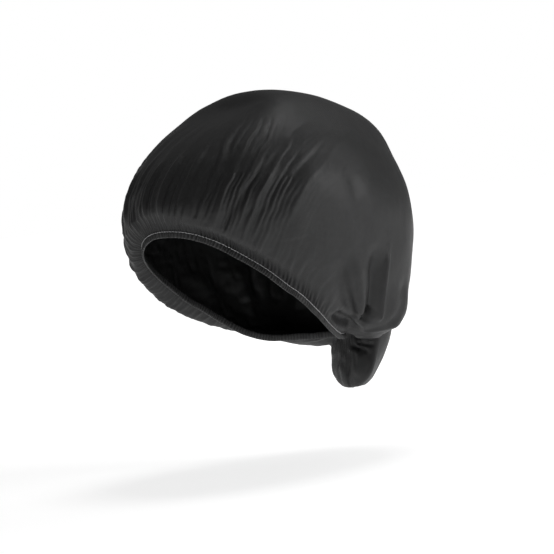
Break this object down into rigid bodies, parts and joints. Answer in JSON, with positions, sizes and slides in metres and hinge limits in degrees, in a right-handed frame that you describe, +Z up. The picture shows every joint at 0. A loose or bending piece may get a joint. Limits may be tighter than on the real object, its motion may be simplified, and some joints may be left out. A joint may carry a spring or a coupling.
{
  "type": "disposable bouffant hair cover cap",
  "caption": "Disposable hair cover: a wide gathered cap of thin non-woven cloth with an elastic edge and a spare pouch of cloth at the nape.",
  "frame": {"origin": "centre of the head opening, midway between the elastic edge at the forehead and at the nape", "axes": "+Z up as worn, -Y the front of the cap, +X the wearer's left"},
  "size_m": [0.2346, 0.3, 0.2982],
  "materials": {
    "cloth": "matte black spunbond non-woven with a soft sheen",
    "casing": "matte black non-woven folded over flat elastic, finely ribbed",
    "thread": "light grey sewing thread"
  },
  "bodies": {
    "root": {"crown": "cloth", "edge_band": "casing"}
  },
  "joints": []
}
